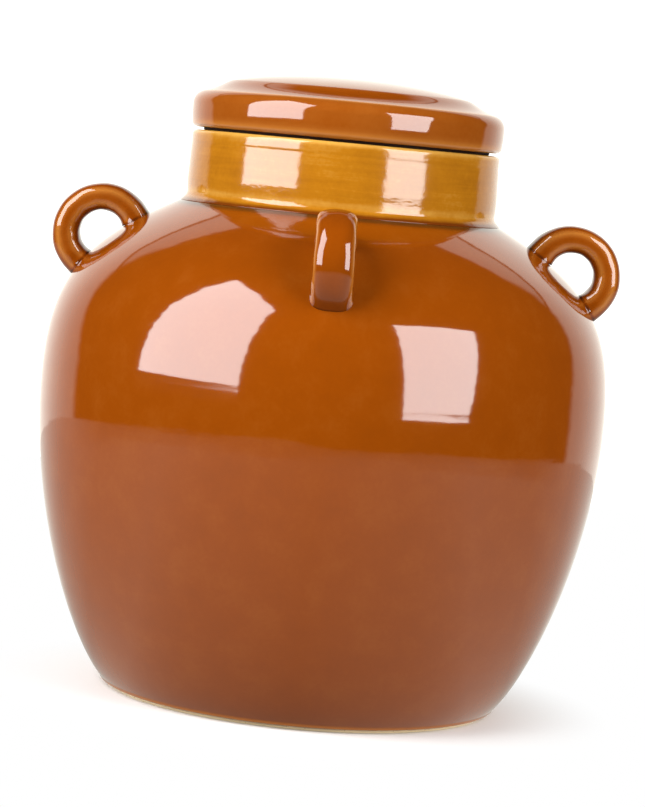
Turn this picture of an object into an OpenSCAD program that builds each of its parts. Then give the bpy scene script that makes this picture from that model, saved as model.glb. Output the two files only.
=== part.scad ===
// Four-eared stoneware fermenting crock: a thrown and glazed jar with a straight neck, a domed
// lid that seats on a soft ring, and two half-moon weights inside. Millimetres, +Z up. The
// origin is the centre of the foot, on the surface that the jar stands on. The front ear
// points along -Y.

/* [Jar] */
// Radius of the belly, at its widest
belly_r = 110; // [100:1:130]
// Height of the widest part of the belly
belly_z = 116; // [105:1:125]
// Radius of the foot, where the wall starts
foot_r = 75; // [68:1:82]
// Height of the shoulder's top, where the neck stands
shoulder_z = 190; // [180:1:205]
// Thickness of the fired wall
wall_t = 7.5; // [6:0.5:10]
// Thickness of the floor above the recess under the jar
floor_t = 9; // [7:0.5:14]

/* [Foot] */
// Height of the bare clay rim that the jar stands on
foot_h = 1.5; // [1:0.25:3]
// Width of the bare clay rim
foot_w = 13; // [8:1:20]
// Depth of the hollow under the jar, from the standing surface
recess_d = 4; // [3:0.5:6]

/* [Neck] */
// Outer radius of the neck
neck_r = 60; // [54:1:64]
// Height of the neck, from the shoulder to the rim
neck_h = 26.3; // [20:0.1:34]
// Radius of the mouth
mouth_r = 52; // [46:1:54]

/* [Ears] */
// Distance of an ear's middle from the jar's axis
ear_x = 91.4; // [88:0.1:95]
// Height of an ear's middle
ear_z = 173; // [170:0.5:176]
// Radius of an ear's loop, along the middle of the strap
ear_loop_r = 14.7; // [12:0.1:17]
// Thickness of an ear's strap
ear_t = 9.8; // [7:0.1:11]
// Width of an ear's strap
ear_w = 15.4; // [10:0.2:20]

/* [Lid] */
// Outer radius of the lid
lid_r = 60.4; // [56:0.1:64]
// Height of the lid's upright wall and its rounded corner
lid_wall_h = 14; // [11:0.5:18]
// Height of the dome over that corner
lid_dome_h = 9.3; // [7.5:0.1:14]
// Radius of the dome, where it drops to the rim
dome_r = 46.5; // [40:0.5:48]
// Drop from the top of the dome to its edge
dome_drop = 4.9; // [4:0.1:6]
// Radius of the lid's rounded corner
lid_corner_r = 5.4; // [4:0.1:6]
// Thickness of the lid's dome
lid_t = 7; // [5:0.5:8]
// Depth of the flange that drops into the neck
flange_h = 14; // [8:0.5:18]
// Thickness of the flange
flange_t = 6; // [4:0.5:8]

/* [Seal] */
// Thickness of the seal between the rim and the lid
seal_t = 1.6; // [1:0.1:3]
// How far the seal stays inside the neck's outside
seal_inset = 4.6; // [3:0.1:6]
// Depth of the seal's sleeve inside the neck
seal_h = 9; // [6:0.5:12]

/* [Weights] */
// Radius of the pair of half-moon weights
weight_r = 64; // [50:1:70]
// Thickness of a weight
weight_t = 16; // [10:1:24]
// Gap between the two weights
weight_gap = 1.2; // [0.6:0.2:4]
// Radius of the finger hole in each weight
finger_r = 8; // [5:0.5:11]

/* [Hidden] */
$fn = 96;

brown_glaze = "#A34E0A";
ochre_glaze = "#CC8018";
bare_clay = "#D9C3A0";
silicone = "#3A2A20";

// Levels
floor_z = recess_d + floor_t;
rim_z = shoulder_z + neck_h;
lid_z = rim_z + seal_t;
lid_corner_z = lid_z + lid_wall_h;
lid_top_z = lid_corner_z + lid_dome_h;

// Clearances: around the flange inside the seal, and around the seal inside the mouth
turn_gap = 0.05;
drop_gap = 0.3;
flange_r = mouth_r - 4;
rim_round = 1.8;
rim_steps = 5;
wall_steps = 14;
ear_steps = 24;

// The wall's outline: one curve from the foot up to the belly, and one on over the shoulder
foot_lean = 38;
shoulder_lean = 26.5;
low_curve = [
    [foot_r, 0],
    [foot_r + 18.5 * cos(foot_lean), 18.5 * sin(foot_lean)],
    [belly_r, belly_z * 0.56],
    [belly_r, belly_z]
];
high_curve = [
    [belly_r, belly_z],
    [belly_r, belly_z + 39],
    [neck_r + 43 * cos(shoulder_lean), shoulder_z - 43 * sin(shoulder_lean)],
    [neck_r, shoulder_z]
];

// A point on a cubic curve, its direction, and the point set in from it by d
function curve_at(p, t) = pow(1 - t, 3) * p[0] + 3 * pow(1 - t, 2) * t * p[1]
    + 3 * (1 - t) * t * t * p[2] + pow(t, 3) * p[3];
function curve_dir(p, t) = pow(1 - t, 2) * (p[1] - p[0])
    + 2 * (1 - t) * t * (p[2] - p[1]) + t * t * (p[3] - p[2]);
function inset_at(p, t, d) = curve_at(p, t)
    + d * [-curve_dir(p, t)[1], curve_dir(p, t)[0]] / norm(curve_dir(p, t));

// Points along a curve, set in by d; and along an arc from angle a to angle b
function curve_pts(p, n, d = 0) = [for (i = [0 : n]) inset_at(p, i / n, d)];
function arc_pts(c, r, a, b, n) = [for (i = [0 : n]) c + r * [cos(a + (b - a) * i / n),
    sin(a + (b - a) * i / n)]];
function flip(pts) = [for (i = [len(pts) - 1 : -1 : 0]) pts[i]];
function above(pts, z) = [for (p = pts) if (p[1] > z) p];
function rest(pts) = [for (i = [1 : len(pts) - 1]) pts[i]];

wall_outside = concat(curve_pts(low_curve, wall_steps), rest(curve_pts(high_curve, wall_steps)));
wall_inside = concat(curve_pts(low_curve, wall_steps, wall_t),
                     rest(curve_pts(high_curve, wall_steps, wall_t)));

// Where the outside meets the top of the foot ring
function foot_edge(t = 0) = curve_at(low_curve, t)[1] >= foot_h ? curve_at(low_curve, t)
    : foot_edge(t + 0.002);

// The jar's outside as a solid, which the ears are pressed against
module jar_outside() {
    rotate_extrude()
        polygon(concat([[0, 0]], wall_outside, [[0, shoulder_z]]));
}

module jar_body() {
    recess_r = foot_r - foot_w;
    inside = above(wall_inside, floor_z + 3);
    top_inside = [mouth_r, shoulder_z - 3];
    color(brown_glaze)
    rotate_extrude()
        polygon(concat(
            [[0, recess_d], [recess_r - 2, recess_d], [recess_r, foot_h]],
            [foot_edge()],
            above(wall_outside, foot_h + 1),
            [[mouth_r, shoulder_z], top_inside],
            flip(inside),
            [[inside[0][0] - 5, floor_z], [0, floor_z]]
        ));
}

// The bare rim that is wiped clean of glaze, so that the jar doesn't stick to the kiln shelf
module foot_ring() {
    outer = foot_r - 0.2;
    inner = foot_r - foot_w;
    edge = 0.5;
    color(bare_clay)
    rotate_extrude()
        polygon([[inner + edge, 0], [outer - edge, 0], [outer, edge],
                 [outer, foot_h], [inner, foot_h], [inner, edge]]);
}

// The neck, turned on the shoulder, with a rounded rim
module neck_collar() {
    outer_corner = [neck_r - rim_round, rim_z - rim_round];
    inner_corner = [mouth_r + rim_round, rim_z - rim_round];
    color(ochre_glaze)
    rotate_extrude()
        polygon(concat(
            [[mouth_r, shoulder_z], [neck_r - 0.8, shoulder_z], [neck_r - 0.3, shoulder_z + 0.8]],
            arc_pts(outer_corner, rim_round, 0, 90, rim_steps),
            arc_pts(inner_corner, rim_round, 90, 180, rim_steps)
        ));
}

// The section of an ear's strap: an oval, its flat way facing out
module strap_section(half_t, half_w) {
    polygon([for (i = [0 : ear_steps - 1])
        [half_t * cos(i * 360 / ear_steps), half_w * sin(i * 360 / ear_steps)]]);
}

// One ear, bent over in the upright plane that holds the jar's axis, and cut to the shoulder
module ear(turn) {
    reach = 110;
    color(brown_glaze)
    rotate([0, 0, turn])
    difference() {
        translate([ear_x, 0, ear_z])
        rotate([90, 0, 0])
        rotate_extrude(angle = 2 * reach, start = 45 - reach)
            translate([ear_loop_r, 0])
                strap_section(ear_t / 2, ear_w / 2);
        jar_outside();
    }
}

module ear_right() { ear(0); }
module ear_back() { ear(90); }
module ear_left() { ear(180); }
module ear_front() { ear(270); }

// The lid's outside: the dome, then the steeper ring round it down to the rounded corner
ring_slope = 18;
ring_end = [
    lid_r - lid_corner_r * (1 - sin(ring_slope)),
    lid_corner_z - lid_corner_r * (1 - cos(ring_slope))
];
dome_curve = [
    [0, lid_top_z],
    [18, lid_top_z],
    [dome_r - 10, lid_top_z - 2],
    [dome_r, lid_top_z - dome_drop]
];
ring_curve = [
    [dome_r, lid_top_z - dome_drop],
    [dome_r + 2.5, lid_top_z - dome_drop - 1.1],
    [dome_r + 4.5, lid_corner_z + 1.3],
    ring_end
];

module lid_shell() {
    corner = [lid_r - lid_corner_r, lid_corner_z - lid_corner_r];
    hollow_r = flange_r - flange_t;
    color(brown_glaze)
    rotate_extrude()
        polygon(concat(
            [[0, lid_top_z - lid_t]],
            arc_pts([hollow_r - 6, lid_top_z - lid_t - 8], 6, 75, 0, 4),
            [[hollow_r, lid_z], [lid_r - 1.6, lid_z], [lid_r - 0.3, lid_z + 1.3]],
            arc_pts(corner, lid_corner_r, 0, 90 - ring_slope, 6),
            rest(flip(curve_pts(ring_curve, 6))),
            rest(flip(curve_pts(dome_curve, 10)))
        ));
}

// The ring under the lid that drops into the neck and keeps the lid in the middle
module lid_flange() {
    edge = 1.5;
    low = lid_z - flange_h;
    color(brown_glaze)
    rotate_extrude()
        polygon([[flange_r - flange_t, lid_z], [flange_r - flange_t, low + edge],
                 [flange_r - flange_t + edge, low], [flange_r - edge, low],
                 [flange_r, low + edge], [flange_r, lid_z]]);
}

// The soft ring on the flange: a washer that the lid rests on, and a sleeve with two fins
module lid_seal() {
    inner = flange_r + turn_gap;
    sleeve = inner + 1.8;
    fin = mouth_r - drop_gap;
    washer_z = rim_z;
    color(silicone)
    rotate_extrude()
        polygon(concat(
            [[inner, lid_z], [inner, washer_z - seal_h], [sleeve, washer_z - seal_h]],
            [for (k = [0 : 1]) each [
                [sleeve, washer_z - seal_h + 1.5 + 3 * k],
                [fin, washer_z - seal_h + 2.7 + 3 * k],
                [sleeve, washer_z - seal_h + 3.1 + 3 * k]]],
            [[sleeve, washer_z], [neck_r - seal_inset, washer_z], [neck_r - seal_inset, lid_z]]
        ));
}

// One half-moon weight, with a finger hole, lying on the floor of the jar
module weight(side) {
    edge = 2;
    hole_x = weight_r * 0.45;
    color(bare_clay)
    difference() {
        intersection() {
            translate([0, 0, floor_z])
            rotate_extrude()
                polygon([[0, 0], [weight_r - edge, 0], [weight_r, edge],
                         [weight_r, weight_t - edge], [weight_r - edge, weight_t], [0, weight_t]]);
            translate([side > 0 ? weight_gap / 2 : -weight_gap / 2 - weight_r, -weight_r, floor_z])
                cube([weight_r, 2 * weight_r, weight_t]);
        }
        translate([side * hole_x, 0, floor_z - 1])
            cylinder(h = weight_t + 2, r = finger_r);
    }
}

module weight_right() { weight(1); }
module weight_left() { weight(-1); }

jar_body();
foot_ring();
neck_collar();
ear_front();
ear_right();
ear_back();
ear_left();
lid_shell();
lid_flange();
lid_seal();
weight_left();
weight_right();
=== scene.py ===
"""Stoneware fermenting crock: builds the finished jar, lid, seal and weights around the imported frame.

Sizes are in metres. The main ones come from the frame's boxes, and every piece rides on its CAD body.
"""

import math
import random

import bmesh
import bpy
import numpy as np
from bpy.props import FloatProperty, FloatVectorProperty, IntProperty, PointerProperty
from bpy.types import Operator, Panel, PropertyGroup
from mathutils import Matrix, Vector, noise


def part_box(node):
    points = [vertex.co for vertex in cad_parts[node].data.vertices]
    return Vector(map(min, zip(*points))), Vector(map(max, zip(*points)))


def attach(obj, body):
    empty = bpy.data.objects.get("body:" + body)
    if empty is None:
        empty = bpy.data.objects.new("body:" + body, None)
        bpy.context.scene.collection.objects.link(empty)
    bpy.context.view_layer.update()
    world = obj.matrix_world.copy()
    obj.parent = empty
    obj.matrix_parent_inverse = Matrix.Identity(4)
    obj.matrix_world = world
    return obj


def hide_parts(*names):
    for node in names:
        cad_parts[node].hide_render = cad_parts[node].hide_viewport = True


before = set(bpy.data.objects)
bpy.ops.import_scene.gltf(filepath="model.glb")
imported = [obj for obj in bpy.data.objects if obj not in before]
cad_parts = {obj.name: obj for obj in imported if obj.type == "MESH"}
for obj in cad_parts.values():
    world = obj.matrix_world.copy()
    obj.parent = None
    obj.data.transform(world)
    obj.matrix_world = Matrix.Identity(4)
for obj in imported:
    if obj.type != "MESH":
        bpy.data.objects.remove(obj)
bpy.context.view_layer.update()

bl_info = {
    "name": "Stoneware Crock",
    "version": (1, 0, 0),
    "blender": (4, 5, 0),
    "location": "View3D > Sidebar > Crock",
    "description": "Builds a glazed stoneware fermenting crock with its lid, seal and weights",
    "category": "Add Mesh",
}

MM = 0.001
WHITE = (1.0, 1.0, 1.0, 1.0)
WARM_WHITE = (1.0, 0.985, 0.90, 1.0)


def high(node, axis):
    """The highest coordinate of a CAD node along an axis."""
    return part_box(node)[1][axis]


def low(node, axis):
    """The lowest coordinate of a CAD node along an axis."""
    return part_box(node)[0][axis]


# ---------------------------------------------------------------- colours


def linear(code):
    """An sRGB hex colour as the linear values that Blender's sockets take."""
    parts = [int(code[i:i + 2], 16) / 255 for i in (1, 3, 5)]
    return [c / 12.92 if c <= 0.04045 else ((c + 0.055) / 1.055) ** 2.4 for c in parts] + [1.0]


def colour(name, code, text):
    """A colour property that starts from an sRGB hex value."""
    return FloatVectorProperty(name=name, description=text, default=linear(code), subtype="COLOR",
                               size=4, min=0, max=1)


def length(name, metres, text, top=0.2):
    """A length property, in metres."""
    return FloatProperty(name=name, description=text, default=metres, min=0, max=top, unit="LENGTH",
                         precision=5)


# ---------------------------------------------------------------- settings


class CrockSizes(PropertyGroup):
    """The sizes that shape the finished pieces. The big ones come from the frame."""
    belly_r: length("Belly radius", high("jar_body", 0), "Radius of the jar at its widest")
    belly_z: length("Belly height", 0.116, "Height of the widest part of the jar")
    foot_r: length("Foot radius", 0.075, "Radius where the wall meets the ground")
    foot_wide: length("Foot width", 0.013, "Width of the bare rim under the jar")
    shoulder_z: length("Shoulder height", low("neck_collar", 2), "Height where the neck stands", 0.3)
    wall: length("Wall", 0.0075, "Thickness of the fired wall", 0.02)
    floor_z: length("Floor height", low("weight_left", 2), "Height of the floor inside the jar")
    neck_r: length("Neck radius", high("neck_collar", 0), "Outer radius of the neck")
    neck_lean: length("Neck lean", 0.0005, "How much narrower the neck is at its rim than at its foot")
    mouth_r: length("Mouth radius", 0.052, "Radius of the mouth")
    rim_z: length("Rim height", high("neck_collar", 2), "Height of the neck's rim", 0.3)
    ear_x: length("Ear distance", 0.0914, "Distance of an ear's middle from the axis")
    ear_z: length("Ear height", 0.173, "Height of an ear's middle", 0.3)
    ear_loop: length("Ear loop", 0.0141, "Radius of an ear's loop along its strap")
    ear_thick: length("Ear thickness", 0.0104, "Thickness of an ear's strap")
    ear_wide: length("Ear width", 0.0152, "Width of an ear's strap")
    ear_luting: length("Ear luting", 0.0003, "How far the glazed luting spreads round an ear's root")
    lid_r: length("Lid radius", high("lid_shell", 0), "Outer radius of the lid")
    lid_z: length("Lid seat height", low("lid_shell", 2), "Height of the lid's underside", 0.3)
    lid_top: length("Lid top height", high("lid_shell", 2), "Height of the lid's dome", 0.3)
    lid_corner: length("Lid corner", 0.0054, "Radius of the lid's rounded corner", 0.02)
    throwing: length("Throwing rings", 0.000016, "Depth of the potter's rings left in the wall", 0.002)
    wander: length("Wander", 0.00010, "How far the thrown wall wanders in and out", 0.002)
    ring_pitch: length("Ring pitch", 0.0085, "Distance between the potter's rings", 0.05)
    join: length("Belly join", 0.00006, "Height of the ridge where the two thrown halves meet", 0.002)
    join_z: length("Belly join height", 0.107, "Height of that ridge above the ground")
    lid_droop: length("Lid droop", 0.0006, "How far the lid's rim hangs below its seat", 0.002)
    turns: IntProperty(name="Steps round", description="Mesh steps round the jar", default=256, min=48)


class CrockFinishes(PropertyGroup):
    """The colours of the glazes and the bare clay."""
    amber: colour("Amber glaze", "#783602", "Amber iron glaze at its usual thickness")
    # Also painted light: this pale colour is laid as a highlight and a reflection along the lid's corner and
    # lower edge
    amber_thin_and_highlight: colour("Amber, thin", "#A4682A", "Amber glaze where it runs thin over an edge")
    # Also painted shade: this dark colour is laid in the creases round the neck's foot and the ears' roots
    amber_pool_and_shade: colour("Amber, pooled", "#2C0E05", "Amber glaze where it gathers in a crease")
    ochre: colour("Ochre glaze", "#975F0F", "Ochre glaze on the neck")
    ochre_thin: colour("Ochre, thin", "#C79A48", "Ochre glaze where it runs thin")
    # Also painted shade: this dark colour is laid round the neck's foot where it meets the shoulder
    ochre_pool_and_shade: colour("Ochre, pooled", "#5E2A04", "Ochre glaze where it gathers")
    clay: colour("Bare stoneware", "#D8C09A", "Fired stoneware with no glaze")
    clay_dark: colour("Stoneware fleck", "#8A6038", "Iron flecks in the bare stoneware")
    rubber: colour("Silicone", "#200E05", "Dark brown silicone rubber")


class CrockStudio(PropertyGroup):
    """The camera and the lights."""
    eye: length("Camera distance", 1.153, "Distance of the camera from the jar's axis", 5)
    eye_z: length("Camera height", 0.2146, "Height of the camera", 5)
    lens: FloatProperty(name="Lens", description="Focal length in mm", default=132.3, min=10, max=400)
    pitch: FloatProperty(name="Tilt", description="How far the camera looks down, in degrees",
                         default=4.96, min=-90, max=90)
    roll: FloatProperty(name="Roll", description="How far the camera is rolled, in degrees",
                        default=5.24, min=-45, max=45)
    box_glow: FloatProperty(name="Softboxes", description="Radiance of the two softboxes",
                            default=10.4, min=0)
    sweep_glow: FloatProperty(name="Backdrop", description="Radiance of the white backdrop",
                              default=1.35, min=0)
    table_r: length("Table radius", 0.76, "Radius of the white table", 5)


# ---------------------------------------------------------------- outlines, in (radius, height)


def bezier(points, steps):
    """Points along a cubic curve."""
    a, b, c, d = (np.array(p, float) for p in points)
    t = np.linspace(0, 1, steps + 1)[:, None]
    return (1 - t) ** 3 * a + 3 * (1 - t) ** 2 * t * b + 3 * (1 - t) * t * t * c + t ** 3 * d


def set_in(points, distance):
    """An outline moved to its left by a distance."""
    along = np.gradient(points, axis=0)
    along /= np.linalg.norm(along, axis=1)[:, None]
    return points + distance * np.stack([-along[:, 1], along[:, 0]], axis=1)


def rounded(corners, steps=6):
    """An open outline from (radius, height, rounding) corners, each turned into an arc."""
    out = []
    for i, (r, z, rounding) in enumerate(corners):
        here = np.array([r, z])
        if rounding == 0 or i in (0, len(corners) - 1):
            out.append(here)
            continue
        before = np.array(corners[i - 1][:2]) - here
        after = np.array(corners[i + 1][:2]) - here
        before, after = before / np.linalg.norm(before), after / np.linalg.norm(after)
        half = math.acos(max(-1, min(1, float(before @ after)))) / 2
        reach = rounding / math.tan(half)
        middle = here + (before + after) / np.linalg.norm(before + after) * rounding / math.sin(half)
        start, end = here + before * reach - middle, here + after * reach - middle
        swing = math.acos(max(-1, min(1, float(start @ end) / rounding ** 2)))
        for k in range(steps + 1):
            f = k / steps
            arm = (math.sin((1 - f) * swing) * start + math.sin(f * swing) * end) / math.sin(swing)
            out.append(middle + arm)
    return np.array(out)


def spaced(points, gap):
    """An outline with a point at least every gap, and no shorter steps than it had."""
    out = [points[0]]
    for a, b in zip(points[:-1], points[1:]):
        n = max(1, math.ceil(np.linalg.norm(b - a) / gap))
        out += [a + (b - a) * k / n for k in range(1, n + 1)]
    return np.array(out)


def jar_outside(s, steps):
    """The jar's outline, from the foot up over the belly and the shoulder to the neck."""
    # How the wall leaves the foot and meets the neck, and how far each curve is pulled that way
    lean, slope = math.radians(38), math.radians(26.5)
    foot_pull, belly_pull, neck_pull = 18.5 * MM, 39 * MM, 43 * MM
    foot = bezier([(s.foot_r, 0), (s.foot_r + foot_pull * math.cos(lean), foot_pull * math.sin(lean)),
                   (s.belly_r, s.belly_z * 0.56), (s.belly_r, s.belly_z)], steps)
    top = bezier([(s.belly_r, s.belly_z), (s.belly_r, s.belly_z + belly_pull),
                  (s.neck_r + neck_pull * math.cos(slope), s.shoulder_z - neck_pull * math.sin(slope)),
                  (s.neck_r, s.shoulder_z)], steps)
    return np.vstack([foot, top[1:]])


# ---------------------------------------------------------------- mesh


def new_object(name, mesh, material, body, slot, *nodes):
    """Finishes a piece: its material, the body it rides on and the CAD nodes it stands for. Its slot
    argument is not used.
    """
    piece = bpy.data.objects.new(name, mesh)
    bpy.context.scene.collection.objects.link(piece)
    mesh.materials.append(material)
    mesh.polygons.foreach_set("use_smooth", [True] * len(mesh.polygons))
    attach(piece, body)
    if nodes:
        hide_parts(*nodes)
    return piece


def set_glaze_depth_and_painted_light(mesh, depths_and_painted_light):
    """Stores how thick the glaze lies at each point, with painted light added in: 0 thin or highlit, 0.5
    usual, 1 pooled or shaded.
    """
    layer = mesh.attributes.new("glaze_depth_and_painted_light", "FLOAT", "POINT")
    layer.data.foreach_set("value", np.clip(depths_and_painted_light, 0, 1).astype(np.float32))


def mesh_from(bm, name):
    """The finished mesh of a bmesh, which is freed."""
    mesh = bpy.data.meshes.new(name)
    bm.to_mesh(mesh)
    bm.free()
    return mesh


def lathe(name, outline, turns, wobble=None):
    """A closed solid turned about Z. wobble(angle, r, z) adds to the radius at each point."""
    bm = bmesh.new()
    angles = [2 * math.pi * k / turns for k in range(turns)]
    rings = []
    for r, z in outline:
        if r < 1e-6:
            rings.append([bm.verts.new((0, 0, z))])
            continue
        ring = []
        for a in angles:
            rr = r + (wobble(a, r, z) if wobble else 0)
            ring.append(bm.verts.new((rr * math.cos(a), rr * math.sin(a), z)))
        rings.append(ring)
    closed = len(rings[0]) > 1
    pairs = list(zip(rings[:-1], rings[1:])) + ([(rings[-1], rings[0])] if closed else [])
    for one, two in pairs:
        for k in range(turns):
            m = (k + 1) % turns
            if len(one) == 1:
                bm.faces.new((one[0], two[k], two[m]))
            elif len(two) == 1:
                bm.faces.new((one[k], two[0], one[m]))
            else:
                bm.faces.new((one[k], two[k], two[m], one[m]))
    bmesh.ops.recalc_face_normals(bm, faces=bm.faces)
    return mesh_from(bm, name)


def points_of(mesh):
    """The radius and the height of each point of a mesh."""
    co = np.zeros(len(mesh.vertices) * 3)
    mesh.vertices.foreach_get("co", co)
    co = co.reshape(-1, 3)
    return np.hypot(co[:, 0], co[:, 1]), co[:, 2]


def near(distance, width):
    """1 at a distance of 0, fading to 0 over a width."""
    return np.exp(-(distance / width) ** 2)


def hand_thrown(s, seed, lopsided=0.0002, rings=1.0, joined=0.0):
    """The small unevenness of a thrown wall: spiral rings, a slow wander, an oval and a joined belly."""
    rng = random.Random(seed)
    phases = [rng.uniform(0, 2 * math.pi) for _ in range(6)]

    def wobble(a, r, z):
        ring = math.sin(2 * math.pi * z / s.ring_pitch + a + phases[0])
        ring += 0.5 * math.sin(2 * math.pi * z / (s.ring_pitch * 0.43) + a + phases[1])
        strength = 0.6 + 0.4 * math.sin(z * 61 + phases[2])
        oval = math.cos(2 * a + phases[3]) + 0.5 * math.cos(3 * a + phases[4] + z * 9)
        slow = noise.noise(Vector((math.cos(a) * 2.2, math.sin(a) * 2.2, z * 22 + phases[5])))
        patchy = 0.55 + noise.noise(Vector((math.cos(a) * 3, math.sin(a) * 3, phases[5] + z * 60)))
        ridge = s.join * joined * patchy * math.exp(-((z - s.join_z) / (2.6 * MM)) ** 2)
        return s.throwing * strength * ring * rings + lopsided * oval + s.wander * slow + ridge
    return wobble


# ---------------------------------------------------------------- materials


def add_node(tree, kind, links=(), values=(), stops=(), **settings):
    """Adds a shader node with its settings, its links and, on a colour ramp, its stops.

    Settings are properties, or inputs by name. Links are (input, output), values are (input, number)
    for inputs that go by number, and stops are (place, colour).
    """
    made = tree.nodes.new(kind)
    for key, value in settings.items():
        if hasattr(made, key):
            setattr(made, key, value)
        else:
            made.inputs[key.replace("_", " ")].default_value = value
    for socket, value in values:
        made.inputs[socket].default_value = value
    for socket, source in links:
        tree.links.new(source, made.inputs[socket])
    for _ in stops[2:]:
        made.color_ramp.elements.new(0.5)
    for i, (place, shade) in enumerate(stops):
        made.color_ramp.elements[i].position = place
        made.color_ramp.elements[i].color = shade
    return made


def new_material(name):
    """An empty material: its node tree, its surface shader and the material."""
    material = bpy.data.materials.new(name)
    material.use_nodes = True
    tree = material.node_tree
    return tree, tree.nodes["Principled BSDF"], material


def glaze(name, usual, thin, pool_and_shade, mottle=0.06, streak=0.0, swells=1.0, ripples=1.0, gloss=0.06):
    """Gloss stoneware glaze, dipped and fired.

    It is a clear, iron-stained glass over clay, so the eye sees one deep colour that goes light on
    edges and dark in creases, a mirror-sharp gloss, and a faint orange peel in what it reflects.
    The light edges and dark creases are partly the glaze's thickness and partly painted highlight,
    painted reflection and painted shade.
    """
    tree, shader, material = new_material(name)
    depth_and_painted_light = add_node(tree, "ShaderNodeAttribute", attribute_name="glaze_depth_and_painted_light").outputs["Fac"]
    place = add_node(tree, "ShaderNodeTexCoord").outputs["Object"]
    # Cloudy patches 12 mm across and a 1.5 mm fleck, as the glaze settles
    cloud = add_node(tree, "ShaderNodeTexNoise", [("Vector", place)], Scale=80.0, Detail=4.0,
                     Roughness=0.55)
    fleck = add_node(tree, "ShaderNodeTexNoise", [("Vector", place)], Scale=640.0, Detail=2.0,
                     Roughness=0.6)
    # Brush and throwing streaks lie round the jar: 2.3 mm high and many times as long
    drawn = add_node(tree, "ShaderNodeMapping", [("Vector", place)], Scale=(22, 22, 430))
    bands = add_node(tree, "ShaderNodeTexNoise", [("Vector", drawn.outputs[0])], Scale=1.0, Detail=5.0,
                     Roughness=0.62, Distortion=0.7)
    # Each pattern moves the depth either way by its own share, round the depth and painted light that the
    # mesh gives
    patches = add_node(tree, "ShaderNodeMath", [(0, cloud.outputs["Fac"])],
                       [(1, mottle * 2), (2, -mottle)], operation="MULTIPLY_ADD")
    flecked = add_node(tree, "ShaderNodeMath", [(0, fleck.outputs["Fac"]), (2, patches.outputs[0])],
                       [(1, mottle * 0.6)], operation="MULTIPLY_ADD")
    banded = add_node(tree, "ShaderNodeMath", [(0, bands.outputs["Fac"]), (2, flecked.outputs[0])],
                      [(1, streak)], operation="MULTIPLY_ADD")
    total = add_node(tree, "ShaderNodeMath", [(0, depth_and_painted_light), (1, banded.outputs[0])], operation="ADD")
    centred = add_node(tree, "ShaderNodeMath", [(0, total.outputs[0])],
                       [(1, mottle * 0.3 + streak * 0.5)], operation="SUBTRACT")
    shade = add_node(tree, "ShaderNodeValToRGB", [("Fac", centred.outputs[0])],
                     stops=[(0.0, thin), (0.5, usual), (1.0, pool_and_shade)])
    tree.links.new(shade.outputs["Color"], shader.inputs["Base Color"])
    shader.inputs["Roughness"].default_value = gloss
    shader.inputs["IOR"].default_value = 1.55
    # Orange peel: 9 mm swells and 2.5 mm ripples, at most a few hundredths of a millimetre high
    low_swell = add_node(tree, "ShaderNodeMapping", [("Vector", place)], Scale=(1, 1, 1.8))
    low_ripple = add_node(tree, "ShaderNodeMapping", [("Vector", place)], Scale=(1, 1, 1.5))
    swell = add_node(tree, "ShaderNodeTexNoise", [("Vector", low_swell.outputs[0])], Scale=110.0,
                     Detail=1.0)
    ripple = add_node(tree, "ShaderNodeTexNoise", [("Vector", low_ripple.outputs[0])], Scale=400.0,
                      Detail=1.0)
    first = add_node(tree, "ShaderNodeBump", [("Height", swell.outputs["Fac"])], Strength=1.0,
                     Distance=0.022 * MM * swells)
    second = add_node(tree, "ShaderNodeBump",
                      [("Height", ripple.outputs["Fac"]), ("Normal", first.outputs["Normal"])],
                      Strength=1.0, Distance=0.004 * MM * ripples)
    tree.links.new(second.outputs["Normal"], shader.inputs["Normal"])
    return material


def bare_stoneware(name, clay, dark):
    """Stoneware clay, thrown, sponged and fired without glaze.

    It is dry and matt, the colour of a biscuit, with iron flecks and a fine sandy tooth.
    """
    tree, shader, material = new_material(name)
    place = add_node(tree, "ShaderNodeTexCoord").outputs["Object"]
    # Iron flecks about 0.6 mm across, and a slow change of colour from the kiln
    fleck = add_node(tree, "ShaderNodeTexVoronoi", [("Vector", place)], Scale=520.0)
    spots = add_node(tree, "ShaderNodeValToRGB", [("Fac", fleck.outputs["Distance"])],
                     stops=[(0.0, (1, 1, 1, 1)), (0.16, (0, 0, 0, 1))])
    flush = add_node(tree, "ShaderNodeTexNoise", [("Vector", place)], Scale=35.0, Detail=5.0)
    warm = [c * 0.78 for c in clay[:3]] + [1]
    body = add_node(tree, "ShaderNodeValToRGB", [("Fac", flush.outputs["Fac"])],
                    stops=[(0.3, warm), (0.7, clay)])
    mixed = add_node(tree, "ShaderNodeMix",
                     [("Factor", spots.outputs["Color"]), ("A", body.outputs["Color"])],
                     data_type="RGBA", B=dark)
    tree.links.new(mixed.outputs["Result"], shader.inputs["Base Color"])
    shader.inputs["Roughness"].default_value = 0.85
    shader.inputs["IOR"].default_value = 1.5
    # Sandy grog, its grains about 0.6 mm apart
    grain = add_node(tree, "ShaderNodeTexNoise", [("Vector", place)], Scale=1600.0, Detail=3.0)
    bump = add_node(tree, "ShaderNodeBump", [("Height", grain.outputs["Fac"])], Strength=0.7,
                    Distance=0.15 * MM)
    tree.links.new(bump.outputs["Normal"], shader.inputs["Normal"])
    return material


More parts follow.
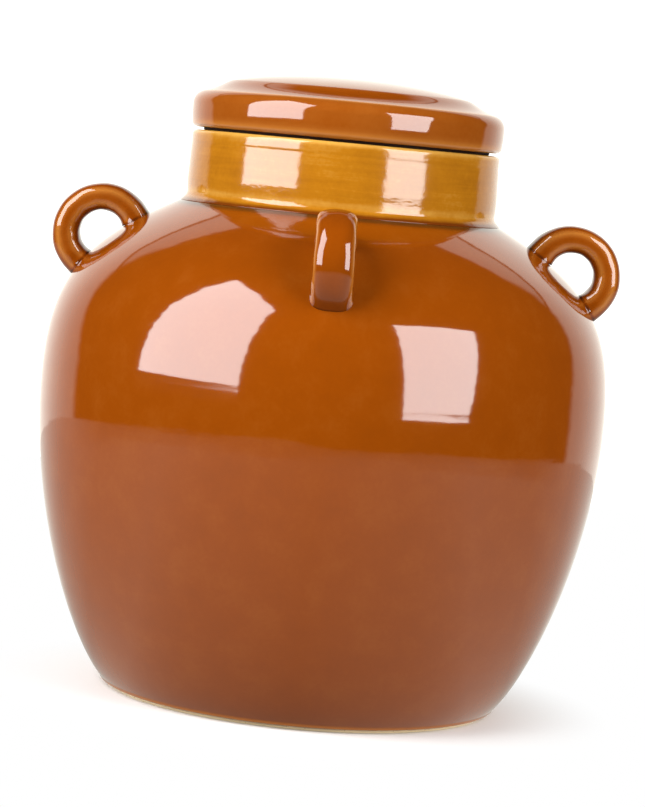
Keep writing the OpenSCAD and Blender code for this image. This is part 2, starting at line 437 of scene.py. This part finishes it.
def moulded_silicone(name, shade):
    """Silicone rubber, moulded.

    It is a soft dark ring with a matt skin, a little dusty, and no sharp highlights.
    """
    tree, shader, material = new_material(name)
    place = add_node(tree, "ShaderNodeTexCoord").outputs["Object"]
    # Dust in patches 3 mm across
    dust = add_node(tree, "ShaderNodeTexNoise", [("Vector", place)], Scale=300.0, Detail=4.0)
    paler = [c * 1.7 for c in shade[:3]] + [1]
    skin = add_node(tree, "ShaderNodeValToRGB", [("Fac", dust.outputs["Fac"])],
                    stops=[(0.35, shade), (0.8, paler)])
    tree.links.new(skin.outputs["Color"], shader.inputs["Base Color"])
    shader.inputs["Roughness"].default_value = 0.7
    shader.inputs["Specular IOR Level"].default_value = 0.25
    shader.inputs["IOR"].default_value = 1.41
    return material


def finish_of(name):
    """The named material, made the first time it is asked for."""
    if name in bpy.data.materials:
        return bpy.data.materials[name]
    f = bpy.context.scene.crock_finishes
    makers = {
        "Amber_Glaze": lambda: glaze("Amber_Glaze", f.amber, f.amber_thin_and_highlight, f.amber_pool_and_shade),
        "Ochre_Glaze": lambda: glaze("Ochre_Glaze", f.ochre, f.ochre_thin, f.ochre_pool_and_shade, mottle=0.15,
                                     streak=0.26, swells=2.5, ripples=9.0, gloss=0.1),
        "Bare_Stoneware": lambda: bare_stoneware("Bare_Stoneware", f.clay, f.clay_dark),
        "Moulded_Silicone": lambda: moulded_silicone("Moulded_Silicone", f.rubber),
    }
    return makers[name]()


# ---------------------------------------------------------------- pieces


class CROCK_OT_jar(Operator):
    """Throw the jar: wall, shoulder, floor and the recess under it"""
    bl_idname = "crock.jar"
    bl_label = "Jar"

    def execute(self, context):
        s = context.scene.crock_sizes
        outside = jar_outside(s, 110)
        inside = set_in(outside, s.wall)
        foot_z = high("foot_ring", 2)
        outside = outside[outside[:, 1] > foot_z + 0.9 * MM]
        inside = inside[inside[:, 1] > s.floor_z + 6 * MM][::-1]
        # The inside is never seen closely, so it keeps every third step
        inside = inside[inside[:, 0] > s.mouth_r + 2.5 * MM][::3]
        recess_r = -low("foot_ring", 0) - s.foot_wide
        under = rounded([(0, 4 * MM, 0), (recess_r - 2 * MM, 4 * MM, 1.5 * MM),
                         (recess_r + 0.5 * MM, foot_z, 0.5 * MM),
                         (outside[0][0] - 0.3 * MM, foot_z, 0.8 * MM), tuple(outside[0]) + (0,)])
        neck_end = rounded([(s.neck_r - 0.5 * MM, s.shoulder_z, 0), (s.mouth_r, s.shoulder_z, 0),
                            (s.mouth_r, s.shoulder_z - 3.5 * MM, 3 * MM), tuple(inside[0]) + (0,)])
        floor = rounded([tuple(inside[-1]) + (0,), (inside[-1][0] - 3.5 * MM, s.floor_z, 5 * MM),
                         (0, s.floor_z, 0)])
        outline = np.vstack([spaced(under, 6 * MM), outside[1:-1], spaced(neck_end, 2 * MM),
                             inside[1:-1], spaced(floor, 6 * MM)])
        thrown = hand_thrown(s, 11, joined=1.0)

        def wobble(a, r, z):
            fade = min(1, max(0, (z - 4 * MM) / (16 * MM)))
            fade *= min(1, max(0, (s.shoulder_z - z) / (5 * MM)))
            return thrown(a, r, z) * fade
        mesh = lathe("Jar_Body", outline, s.turns, wobble)
        r, z = points_of(mesh)
        # The glaze is darker in a ring on the shoulder round the neck's foot, partly glaze pooled in the
        # crease and partly painted shade, and thin just above the foot
        depth_and_painted_light = 0.5 + 0.45 * near(np.hypot(r - s.neck_r - 2.8 * MM, z - s.shoulder_z + 1.5 * MM), 2.2 * MM)
        depth_and_painted_light -= 0.35 * near(np.hypot(r - s.foot_r - 2 * MM, z - foot_z), 1.2 * MM)
        set_glaze_depth_and_painted_light(mesh, depth_and_painted_light)
        new_object("Jar_Body", mesh, finish_of("Amber_Glaze"), "jar", "brown_glaze", "jar_body")
        return {"FINISHED"}


class CROCK_OT_foot(Operator):
    """Wipe the foot: the bare rim that the jar stands on"""
    bl_idname = "crock.foot"
    bl_label = "Foot ring"

    def execute(self, context):
        s = context.scene.crock_sizes
        outer, top = high("foot_ring", 0), high("foot_ring", 2)
        inner = outer - s.foot_wide
        ring = [(inner, top, 0), (inner, 0, 0.7 * MM), (outer, 0, 0.6 * MM), (outer, top, 0)]
        outline = spaced(rounded(ring), 2 * MM)
        shift = Vector((3.1, 7.7, 1.3))

        def wobble(a, r, z):
            return 0.12 * MM * noise.noise(Vector((math.cos(a) * 14, math.sin(a) * 14, z * 300)) + shift)
        mesh = lathe("Foot_Ring", outline, s.turns, wobble)
        new_object("Foot_Ring", mesh, finish_of("Bare_Stoneware"), "jar", "bare_clay", "foot_ring")
        return {"FINISHED"}


class CROCK_OT_neck(Operator):
    """Turn the neck: a straight collar with a rounded rim and a cove at its foot"""
    bl_idname = "crock.neck"
    bl_label = "Neck collar"

    def execute(self, context):
        s = context.scene.crock_sizes
        top, base = s.rim_z, s.shoulder_z
        lip = s.neck_r - s.neck_lean
        # Up the inside, over the rim, past a shallow groove and down to the cove at the shoulder
        corners = [
            (s.mouth_r, base, 0), (s.mouth_r, top, 1.8 * MM), (lip, top, 1.5 * MM),
            (lip + 0.05 * MM, top - 4.0 * MM, 3 * MM), (lip, top - 5.0 * MM, 3 * MM),
            (lip + 0.15 * MM, top - 7 * MM, 4 * MM), (s.neck_r, base + 8 * MM, 20 * MM),
            (s.neck_r - 0.25 * MM, base + 1.6 * MM, 2.4 * MM),
            (s.neck_r + 2.2 * MM, base - 1.0 * MM, 0.15 * MM), (s.neck_r + 0.6 * MM, base - 1.2 * MM, 0),
            (s.neck_r - 1.0 * MM, base, 0),
        ]
        outline = spaced(rounded(corners), 0.7 * MM)
        thrown = hand_thrown(s, 5, 0.00012, 1.6)

        def wobble(a, r, z):
            fade = min(1, max(0, (z - base - 1 * MM) / (4 * MM))) * (1 if r > s.mouth_r + 3 * MM else 0.4)
            return thrown(a, r, z) * fade
        mesh = lathe("Neck_Collar", outline, s.turns, wobble)
        r, z = points_of(mesh)
        out = r > s.neck_r - 3 * MM
        # The glaze is thin over the rim, darker round the neck's foot where it meets the shoulder, partly
        # pooled glaze and partly painted shade, and paler 3 mm above the foot
        depth_and_painted_light = 0.52 - 0.34 * near(z - top, 1.5 * MM) + 0.6 * near(r - s.neck_r - 1.9 * MM, 1.0 * MM) * out
        depth_and_painted_light -= 0.16 * near(z - base - 3.0 * MM, 1.4 * MM) * out
        set_glaze_depth_and_painted_light(mesh, depth_and_painted_light)
        new_object("Neck_Collar", mesh, finish_of("Ochre_Glaze"), "jar", "ochre_glaze", "neck_collar")
        return {"FINISHED"}


def gap_to_jar(outline, points):
    """How far each point lies outside the jar's wall; negative inside it."""
    r, z = np.hypot(points[:, 0], points[:, 1]), points[:, 2]
    here = np.stack([r, z], axis=1)
    a, b = outline[:-1], outline[1:]
    step = b - a
    t = ((here[:, None] - a) * step).sum(-1) / (step ** 2).sum(-1)
    foot = a + np.clip(t, 0, 1)[..., None] * step
    gap = np.linalg.norm(here[:, None] - foot, axis=-1)
    best = gap.argmin(axis=1)
    rows = np.arange(len(here))
    side = step[best, 0] * (z - a[best, 1]) - step[best, 1] * (r - a[best, 0])
    return gap[rows, best] * np.where(side > 0, -1, 1)


def ear_mesh(s, name, turn, seed):
    """One ear: a pulled strap bent into a loop, flaring where it is luted to the shoulder."""
    rng = random.Random(seed)
    twist, lean = rng.uniform(-0.5, 0.5), rng.uniform(-0.35, 0.35) * MM
    around, reach, tilt = 40, math.radians(112), math.radians(45)
    squareness = 2.8
    # Stations crowd together at the two roots, where the strap flares
    u = np.linspace(-1, 1, 121)
    angles = tilt + reach * np.sign(u) * (1 - (1 - np.abs(u)) ** 1.35)
    section = np.linspace(0, 2 * math.pi, around, endpoint=False)
    outline = jar_outside(s, 160)
    points, arms = [], []
    for a in angles:
        swing = abs(a - tilt) / reach
        half_t = s.ear_thick / 2 * (1.0 + 0.1 * swing ** 2)
        half_w = s.ear_wide / 2 * (0.95 + 0.05 * swing)
        out = np.array([math.cos(a), 0, math.sin(a)])
        middle = np.array([s.ear_x, 0, s.ear_z]) + out * s.ear_loop
        for c in section:
            x, y = math.cos(c), math.sin(c)
            # A pressed strap: flat on its faces and round at its edges
            square = (abs(x) ** squareness + abs(y) ** squareness) ** (-1 / squareness)
            arm = (out * half_t * x + np.array([0, half_w * y, 0])) * square
            bump = noise.noise(Vector((a * 3 + seed, x * 1.3, y * 1.3))) * 0.16 * MM
            points.append(middle + arm * (1 + bump / half_t) + np.array([0, lean * math.sin(a), 0]))
            arms.append(arm / np.linalg.norm(arm))
    points, arms = np.array(points), np.array(arms)
    gap = gap_to_jar(outline, points)
    flare = np.clip(1 - gap / (3.2 * MM), 0, 1.0) ** 2
    points += arms * (s.ear_luting * flare)[:, None]
    gap = gap_to_jar(outline, points)
    bm = bmesh.new()
    # The side ears sit up to 1.8 degrees behind the middle
    behind = 1.3 * math.cos(math.radians(turn))
    spin = Matrix.Rotation(math.radians(turn + twist + behind), 3, "Z")
    verts = [bm.verts.new(spin @ Vector(p)) for p in points]
    rows = len(angles)
    for i in range(rows - 1):
        for k in range(around):
            m = (k + 1) % around
            bm.faces.new((verts[i * around + k], verts[i * around + m],
                          verts[(i + 1) * around + m], verts[(i + 1) * around + k]))
    for i in (0, rows - 1):
        ring = verts[i * around:(i + 1) * around]
        bm.faces.new(ring if i else ring[::-1])
    bmesh.ops.recalc_face_normals(bm, faces=bm.faces)
    mesh = mesh_from(bm, name)
    side = np.abs(np.tile(np.sin(section), rows))
    outer = np.tile(np.cos(section), rows)
    # The glaze runs thin along the strap's edges and is a little darker on its inner face; it is darker at
    # and round the roots, partly glaze pooled where the ear is luted and partly painted shade
    depth_and_painted_light = 0.58 - 0.42 * near(side - 0.88, 0.1) - 0.04 * outer
    depth_and_painted_light += 0.36 * near(gap - 0.1 * MM, 0.6 * MM) + 0.06 * near(gap, 4 * MM)
    set_glaze_depth_and_painted_light(mesh, depth_and_painted_light)
    return mesh


class CROCK_OT_ears(Operator):
    """Pull the ears and lute them round the shoulder"""
    bl_idname = "crock.ears"
    bl_label = "Ears"

    def execute(self, context):
        s = context.scene.crock_sizes
        for seed, (side, turn) in enumerate((("right", 0), ("back", 90), ("left", 180), ("front", 270))):
            name = "Ear_" + side.capitalize()
            mesh = ear_mesh(s, name, turn, seed + 1)
            new_object(name, mesh, finish_of("Amber_Glaze"), "jar", "brown_glaze", "ear_" + side)
        return {"FINISHED"}


class CROCK_OT_lid(Operator):
    """Throw the lid and the flange under it"""
    bl_idname = "crock.lid"
    bl_label = "Lid"

    def execute(self, context):
        s = context.scene.crock_sizes
        corner_z, dome_z = s.lid_z + 14 * MM, s.lid_top - 4.9 * MM
        dome_r, flange_r, hollow_r = 46.5 * MM, s.mouth_r - 4 * MM, s.mouth_r - 10 * MM
        lean = math.radians(18)
        end = (s.lid_r - s.lid_corner * (1 - math.sin(lean)), corner_z - s.lid_corner * (1 - math.cos(lean)))
        dome = bezier([(0, s.lid_top), (18 * MM, s.lid_top), (dome_r - 10 * MM, s.lid_top - 2 * MM),
                       (dome_r, dome_z)], 34)
        ring = bezier([(dome_r, dome_z), (dome_r + 2.5 * MM, dome_z - 1.1 * MM),
                       (dome_r + 4.5 * MM, corner_z + 1.3 * MM), end], 18)
        corner = [(s.lid_r - s.lid_corner + s.lid_corner * math.sin(a),
                   corner_z - s.lid_corner + s.lid_corner * math.cos(a))
                  for a in np.linspace(lean, math.radians(86), 16)]
        # Down the wall to a rim that hangs round the seal, then across the seat and up into the hollow
        wall = rounded([tuple(corner[-1]) + (0,), (s.lid_r, s.lid_z + 5 * MM, 20 * MM),
                        (s.lid_r - 0.5 * MM, s.lid_z - s.lid_droop, 2.1 * MM),
                        (s.lid_r - 3.6 * MM, s.lid_z - s.lid_droop, 0.4 * MM),
                        (s.lid_r - 4.3 * MM, s.lid_z, 0.3 * MM),
                        (hollow_r, s.lid_z, 0.8 * MM), (hollow_r - 0.3 * MM, s.lid_z + 9 * MM, 7 * MM),
                        (0, s.lid_top - 7 * MM, 0)], 8)
        outline = np.vstack([dome, ring[1:], corner[1:], spaced(wall, 2.5 * MM)[1:]])
        thrown = hand_thrown(s, 23, 0.0001)

        def wobble(a, r, z):
            return thrown(a, r, z) * min(1, r / (40 * MM)) * 0.8
        mesh = lathe("Lid_Cover", outline, s.turns, wobble)
        r, z = points_of(mesh)
        # The glaze is lighter along the lid's lower edge, partly thin glaze and partly a painted reflection
        # of the neck and table; lighter in a line at the top of the corner, partly thin glaze and partly a
        # painted highlight; and darker in the cove at the dome's foot, partly pooled glaze and partly a
        # painted dark reflection
        depth_and_painted_light = 0.43 - 0.3 * near(np.hypot(r - s.lid_r, z - s.lid_z - 0.6 * MM), 1.6 * MM)
        depth_and_painted_light -= 0.34 * near(np.hypot(r - s.lid_r + 3.5 * MM, z - corner_z + 0.45 * MM), 0.8 * MM)
        depth_and_painted_light += 0.1 * near(r - dome_r - 4 * MM, 3 * MM) * (z > corner_z)
        set_glaze_depth_and_painted_light(mesh, depth_and_painted_light)
        new_object("Lid_Cover", mesh, finish_of("Amber_Glaze"), "lid", "brown_glaze", "lid_shell")

        base = low("lid_flange", 2)
        hoop = [(hollow_r, s.lid_z, 0), (hollow_r, base, 2.2 * MM), (flange_r, base, 2.2 * MM),
                (flange_r, s.lid_z, 0)]
        mesh = lathe("Lid_Flange", spaced(rounded(hoop), 1.5 * MM), s.turns)
        r, z = points_of(mesh)
        set_glaze_depth_and_painted_light(mesh, 0.5 - 0.3 * near(z - base, 1.2 * MM))
        new_object("Lid_Flange", mesh, finish_of("Amber_Glaze"), "lid", "brown_glaze", "lid_flange")
        return {"FINISHED"}


class CROCK_OT_seal(Operator):
    """Mould the soft ring that the lid rests on"""
    bl_idname = "crock.seal"
    bl_label = "Lid seal"

    def execute(self, context):
        s = context.scene.crock_sizes
        inner = s.mouth_r - 3.95 * MM
        sleeve, fin = inner + 1.8 * MM, s.mouth_r - 0.3 * MM
        base, washer, top = low("lid_seal", 2), s.rim_z, high("lid_seal", 2)
        edge = high("lid_seal", 0)
        fins = []
        for k in range(2):
            z = base + 3 * MM * k
            fins += [(sleeve, z + 1.5 * MM, 0.2 * MM), (fin, z + 2.5 * MM, 0.25 * MM),
                     (fin, z + 2.9 * MM, 0.15 * MM), (sleeve, z + 3.2 * MM, 0.2 * MM)]
        ring = [(inner, top, 0), (inner, base, 0.4 * MM), (sleeve, base, 0.4 * MM)] + fins
        ring += [(sleeve, washer, 0.3 * MM), (edge, washer, 0.5 * MM), (edge, top, 0.5 * MM),
                 (inner + 0.5 * MM, top, 0)]
        mesh = lathe("Lid_Seal", spaced(rounded(ring, 4), 1.5 * MM), s.turns)
        new_object("Lid_Seal", mesh, finish_of("Moulded_Silicone"), "seal", "silicone", "lid_seal")
        return {"FINISHED"}


def half_moon(name, side):
    """One weight: a half disc of clay with rounded edges and a finger hole, a little uneven."""
    node = "weight_right" if side > 0 else "weight_left"
    lo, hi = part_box(node)
    radius, thick = hi[1], hi[2] - lo[2]
    gap = min(abs(lo[0]), abs(hi[0]))
    bevel, hole_r = 2 * MM, 8 * MM
    start = math.asin(gap / radius)
    arc = [(radius * math.sin(start + (math.pi - 2 * start) * k / 72),
            -radius * math.cos(start + (math.pi - 2 * start) * k / 72)) for k in range(73)]
    hole = [(radius * 0.45 + hole_r * math.cos(2 * math.pi * k / 40),
             hole_r * math.sin(2 * math.pi * k / 40)) for k in range(40)]
    curve = bpy.data.curves.new(name, "CURVE")
    curve.dimensions, curve.fill_mode = "2D", "BOTH"
    curve.extrude, curve.bevel_depth, curve.bevel_resolution = thick / 2 - bevel, bevel, 4
    curve.offset = -bevel
    for loop in (arc, hole):
        spline = curve.splines.new("POLY")
        spline.points.add(len(loop) - 1)
        for point, (x, y) in zip(spline.points, loop):
            point.co = (side * x, y, 0, 1)
        spline.use_cyclic_u = True
    shape = bpy.data.objects.new(name + "_outline", curve)
    bpy.context.scene.collection.objects.link(shape)
    remesh = shape.modifiers.new("Even", "REMESH")
    remesh.mode, remesh.voxel_size = "VOXEL", 1.1 * MM
    smooth = shape.modifiers.new("Soft", "SMOOTH")
    smooth.iterations = 4
    bpy.context.view_layer.update()
    made = shape.evaluated_get(bpy.context.evaluated_depsgraph_get())
    mesh = bpy.data.meshes.new_from_object(made)
    mesh.name = name
    bpy.data.objects.remove(shape)
    middle = (lo[2] + hi[2]) / 2
    for v in mesh.vertices:
        dent = noise.fractal(v.co * 60 + Vector((side * 5, 0, 0)), 1.0, 2.0, 3)
        v.co -= v.normal * (0.12 * MM + 0.18 * MM * max(0, dent))
        v.co.z += middle
    return mesh


class CROCK_OT_weights(Operator):
    """Press the two half-moon weights"""
    bl_idname = "crock.weights"
    bl_label = "Weights"

    def execute(self, context):
        for word, side in (("left", -1), ("right", 1)):
            name = "Weight_" + word.capitalize()
            mesh = half_moon(name, side)
            new_object(name, mesh, finish_of("Bare_Stoneware"), "weight_" + word, "weight_clay",
                       "weight_" + word)
        return {"FINISHED"}


# ---------------------------------------------------------------- stage


def softbox(name, place, facing, size, glow):
    """A rectangular softbox of an even radiance."""
    data = bpy.data.lights.new(name, "AREA")
    data.shape, data.size, data.size_y = "RECTANGLE", size[0], size[1]
    data.energy = glow * math.pi * size[0] * size[1]
    lamp = bpy.data.objects.new(name, data)
    lamp.location = place
    lamp.rotation_mode = "QUATERNION"
    lamp.rotation_quaternion = Vector(facing).to_track_quat("-Z", "Y")
    lamp.visible_camera = False
    bpy.context.scene.collection.objects.link(lamp)


def white_sweep(glow):
    """The room: white to the camera, and in reflections a white backdrop in a dark studio."""
    world = bpy.data.worlds.new("Studio")
    bpy.context.scene.world = world
    world.use_nodes = True
    tree = world.node_tree
    tree.nodes.clear()
    way = add_node(tree, "ShaderNodeTexCoord").outputs["Generated"]
    part = add_node(tree, "ShaderNodeSeparateXYZ", [("Vector", way)])
    seen = add_node(tree, "ShaderNodeLightPath").outputs["Is Camera Ray"]
    # Each line is a result, what is done, and the results or numbers that it is done to
    steps = (
        # The angle round from the front, and the height above the horizon, in degrees
        ("side", "ABSOLUTE", "x"),
        ("front", "MULTIPLY", "y", -1),
        ("turned", "ARCTAN2", "side", "front"),
        ("round", "DEGREES", "turned"),
        ("raised", "ARCSINE", "z"),
        ("rise", "DEGREES", "raised"),
        # The backdrop narrows as it rises
        ("above", "MAXIMUM", "rise", 0),
        ("lean", "MULTIPLY", "above", 0.5),
        ("edge", "SUBTRACT", "round", "lean"),
        ("high_lean", "MULTIPLY", "rise", 1.9),
        ("high_edge", "SUBTRACT", "round", "high_lean"),
        ("within_edge", "FADE", "edge", 116, 121),
        ("within_top", "FADE", "rise", 52, 49),
        ("within_high_edge", "FADE", "high_edge", 57, 60),
        ("low_screen", "MULTIPLY", "within_edge", "within_top"),
        ("screen", "MULTIPLY", "low_screen", "within_high_edge"),
        # A thin dark gap parts it from a strip of white ceiling
        ("held", "MINIMUM", "round", 159),
        ("past", "SUBTRACT", "held", 153),
        ("sag", "MULTIPLY", "past", 0.4),
        ("over", "SUBTRACT", "rise", "sag"),
        ("gap_foot", "FADE", "over", 36.0, 36.8),
        ("gap_head", "FADE", "over", 38.2, 37.4),
        ("dark", "MULTIPLY", "gap_foot", "gap_head"),
        ("gap", "SUBTRACT", 1, "dark"),
        # The ceiling is dimmer than the paper, and stops straight behind
        ("ceiling", "FADE", "over", 37, 37.6),
        ("ceiling_loss", "MULTIPLY", "ceiling", 0.35),
        ("ceiling_fall", "SUBTRACT", 1, "ceiling_loss"),
        ("up_high", "FADE", "rise", 41, 50),
        ("behind", "FADE", "round", 157, 162),
        ("high_behind", "MULTIPLY", "up_high", "behind"),
        ("behind_fall", "SUBTRACT", 1, "high_behind"),
        ("fall", "MULTIPLY", "ceiling_fall", "behind_fall"),
        # It is brighter towards the middle
        ("inward", "FADE", "round", 118, 155),
        ("inward_gain", "MULTIPLY", "inward", 0.48),
        ("side_fall", "ADD", 0.62, "inward_gain"),
        ("paper", "MULTIPLY", "screen", "gap"),
        ("shaded", "MULTIPLY", "fall", "side_fall"),
        ("lit", "MULTIPLY", "paper", "shaded"),
        ("room", "MULTIPLY_ADD", "lit", glow, 0.02),
        # Seen straight on it is white behind the jar and a pale grey on the side that the lamps stand
        ("far_side", "FADE", "y", -0.6, 0.3),
        ("far_gain", "MULTIPLY", "far_side", 0.38),
        ("pale", "ADD", 0.62, "far_gain"),
        ("in_sight", "MULTIPLY", "seen", "pale"),
        ("strength", "MAXIMUM", "room", "in_sight"),
    )
    made = {"x": part.outputs["X"], "y": part.outputs["Y"], "z": part.outputs["Z"], "seen": seen}
    for name, operation, *terms in steps:
        links = [(i, made[term]) for i, term in enumerate(terms) if isinstance(term, str)]
        values = [(i, term) for i, term in enumerate(terms) if not isinstance(term, str)]
        if operation == "FADE":
            step = add_node(tree, "ShaderNodeMapRange", links, values, interpolation_type="SMOOTHSTEP")
        else:
            step = add_node(tree, "ShaderNodeMath", links, values, operation=operation)
        made[name] = step.outputs[0]
    # The backdrop is a warm white paper
    tint = add_node(tree, "ShaderNodeMix", [("Factor", seen)], data_type="RGBA", A=WARM_WHITE, B=WHITE)
    back = add_node(tree, "ShaderNodeBackground",
                    [("Strength", made["strength"]), ("Color", tint.outputs["Result"])])
    add_node(tree, "ShaderNodeOutputWorld", [("Surface", back.outputs[0])])


def white_table_painted_glow():
    """White laminate, pressed smooth.

    It is an even matt white round the jar's foot that keeps the jar's soft shadow; further out, and in
    what the glaze mirrors, it glows with painted light that fades into the white room.
    """
    tree, shader, material = new_material("White_Table_Painted_Glow")
    place = add_node(tree, "ShaderNodeTexCoord").outputs["Object"]
    part = add_node(tree, "ShaderNodeSeparateXYZ", [("Vector", place)])
    far = add_node(tree, "ShaderNodeVectorMath", [(0, place)], operation="LENGTH").outputs["Value"]
    shader.inputs["Base Color"].default_value = linear("#E6E4E2")
    shader.inputs["Roughness"].default_value = 0.7
    # Past the foot's own shadow it glows with painted light as pale as the room behind it, dimmer towards
    # the front
    fade = add_node(tree, "ShaderNodeMapRange", [("Value", far)], interpolation_type="SMOOTHSTEP",
                    From_Min=0.07, From_Max=0.125)
    pale = add_node(tree, "ShaderNodeMapRange", [("Value", part.outputs["Y"])],
                    interpolation_type="SMOOTHSTEP", From_Min=-0.75, From_Max=-0.25, To_Min=0.62)
    white = add_node(tree, "ShaderNodeEmission", [("Strength", pale.outputs["Result"])])
    seen = add_node(tree, "ShaderNodeMixShader",
                    [("Fac", fade.outputs["Result"]), (1, shader.outputs[0]), (2, white.outputs[0])])
    # For every ray but the camera's the table glows with painted light, lowest in front and at the front
    # edge, and the glaze mirrors it
    side = add_node(tree, "ShaderNodeMath", [(0, part.outputs["X"])], operation="ABSOLUTE")
    front = add_node(tree, "ShaderNodeMath", [(0, part.outputs["Y"])], [(1, -1)], operation="MULTIPLY")
    turn = add_node(tree, "ShaderNodeMath", [(0, side.outputs[0]), (1, front.outputs[0])],
                    operation="ARCTAN2")
    share = add_node(tree, "ShaderNodeMath", [(0, turn.outputs[0])], [(1, math.pi)], operation="DIVIDE")
    glow_at = ((0, 0.47), (0.2, 0.64), (0.33, 0.86), (0.5, 0.60), (0.66, 0.66), (0.83, 1.02), (1.0, 1.15))
    peak = 1.2
    shade = add_node(tree, "ShaderNodeValToRGB", [("Fac", share.outputs[0])],
                     stops=[(at, [c / peak * w for w in WARM_WHITE[:3]] + [1]) for at, c in glow_at])
    edge_at = ((0.52, 1), (0.60, 0.7), (0.70, 0.55), (0.76, 0.22))
    edge = add_node(tree, "ShaderNodeValToRGB", [("Fac", far)],
                    stops=[(at, (c, c, c, 1)) for at, c in edge_at])
    back = add_node(tree, "ShaderNodeValToRGB", [("Fac", share.outputs[0])],
                    stops=[(0.5, (0, 0, 0, 1)), (0.62, WHITE)])
    dimmed = add_node(tree, "ShaderNodeMix",
                      [("Factor", back.outputs["Color"]), ("A", edge.outputs["Color"])],
                      data_type="RGBA", B=WHITE)
    both = add_node(tree, "ShaderNodeMix",
                    [("A", shade.outputs["Color"]), ("B", dimmed.outputs["Result"])],
                    data_type="RGBA", blend_type="MULTIPLY", Factor=1)
    glow = add_node(tree, "ShaderNodeEmission", [("Color", both.outputs["Result"])], Strength=peak)
    eye = add_node(tree, "ShaderNodeLightPath").outputs["Is Camera Ray"]
    mixed = add_node(tree, "ShaderNodeMixShader",
                     [("Fac", eye), (1, glow.outputs[0]), (2, seen.outputs[0])])
    # From below, the table is left out, so that the jar's underside can be seen
    below = add_node(tree, "ShaderNodeNewGeometry").outputs["Backfacing"]
    clear = add_node(tree, "ShaderNodeBsdfTransparent")
    open_under = add_node(tree, "ShaderNodeMixShader",
                          [("Fac", below), (1, mixed.outputs[0]), (2, clear.outputs[0])])
    tree.links.new(open_under.outputs[0], tree.nodes["Material Output"].inputs["Surface"])
    return material


def table_top(radius):
    """The round white table that the jar stands on."""
    turns = 128
    bm = bmesh.new()
    rings = [[bm.verts.new((r * math.cos(2 * math.pi * k / turns), r * math.sin(2 * math.pi * k / turns), 0))
              for k in range(turns)] for r in (radius * 0.15, radius * 0.4, radius * 0.7, radius)]
    middle = bm.verts.new((0, 0, 0))
    for k in range(turns):
        m = (k + 1) % turns
        bm.faces.new((middle, rings[0][k], rings[0][m]))
        for one, two in zip(rings[:-1], rings[1:]):
            bm.faces.new((one[k], two[k], two[m], one[m]))
    mesh = mesh_from(bm, "Table_Top")
    mesh.materials.append(white_table_painted_glow())
    table = bpy.data.objects.new("Table_Top", mesh)
    # It lies just under the foot, so that the two faces don't fight
    table.location.z = -0.2 * MM
    bpy.context.scene.collection.objects.link(table)


class CROCK_OT_studio(Operator):
    """Set up the camera, the softboxes, the backdrop and the table"""
    bl_idname = "crock.studio"
    bl_label = "Studio"

    def execute(self, context):
        scene, t = context.scene, context.scene.crock_studio
        scene.view_settings.view_transform = "Standard"
        data = bpy.data.cameras.new("Camera")
        data.lens, data.sensor_width = t.lens, 36
        data.clip_start, data.clip_end = 0.05, 20
        camera = bpy.data.objects.new("Camera", data)
        tip, roll = math.radians(90 - t.pitch), math.radians(t.roll)
        turn = Matrix.Rotation(tip, 4, "X") @ Matrix.Rotation(roll, 4, "Z")
        camera.matrix_world = Matrix.Translation((0, -t.eye, t.eye_z)) @ turn
        scene.collection.objects.link(camera)
        scene.camera = camera
        # Each box stands and faces so that its reflection lies high on one side of the belly
        softbox("Softbox_Left", (-0.874, -0.776, 1.003), (0.988, 0.137, -0.07), (1.08, 1.70), t.box_glow)
        softbox("Softbox_Right", (0.896, -0.798, 0.542), (-0.451, 0.751, -0.482), (0.74, 1.03),
                t.box_glow)
        white_sweep(t.sweep_glow)
        table_top(t.table_r)
        return {"FINISHED"}


# ---------------------------------------------------------------- panel and registration


class CROCK_PT_panel(Panel):
    """The crock's settings and the buttons that build it"""
    bl_idname = "CROCK_PT_panel"
    bl_label = "Stoneware Crock"
    bl_space_type = "VIEW_3D"
    bl_region_type = "UI"
    bl_category = "Crock"

    def draw(self, context):
        for operator in OPERATORS:
            self.layout.operator(operator.bl_idname)
        for title, group in (("Sizes", context.scene.crock_sizes),
                             ("Finishes", context.scene.crock_finishes),
                             ("Studio", context.scene.crock_studio)):
            box = self.layout.box()
            box.label(text=title)
            for name in group.__annotations__:
                box.prop(group, name)


GROUPS = {"crock_sizes": CrockSizes, "crock_finishes": CrockFinishes, "crock_studio": CrockStudio}
OPERATORS = (CROCK_OT_studio, CROCK_OT_jar, CROCK_OT_foot, CROCK_OT_neck, CROCK_OT_ears, CROCK_OT_lid,
             CROCK_OT_seal, CROCK_OT_weights)


def register():
    """Registers the settings, the operators and the panel."""
    for name, group in GROUPS.items():
        bpy.utils.register_class(group)
        setattr(bpy.types.Scene, name, PointerProperty(type=group))
    for cls in (*OPERATORS, CROCK_PT_panel):
        bpy.utils.register_class(cls)


def unregister():
    """Removes what register added."""
    for cls in reversed((*OPERATORS, CROCK_PT_panel)):
        bpy.utils.unregister_class(cls)
    for name, group in reversed(GROUPS.items()):
        delattr(bpy.types.Scene, name)
        bpy.utils.unregister_class(group)


def main():
    """Builds the whole crock."""
    register()
    for operator in OPERATORS:
        group, name = operator.bl_idname.split(".")
        getattr(getattr(bpy.ops, group), name)()


if __name__ == "__main__":
    main()
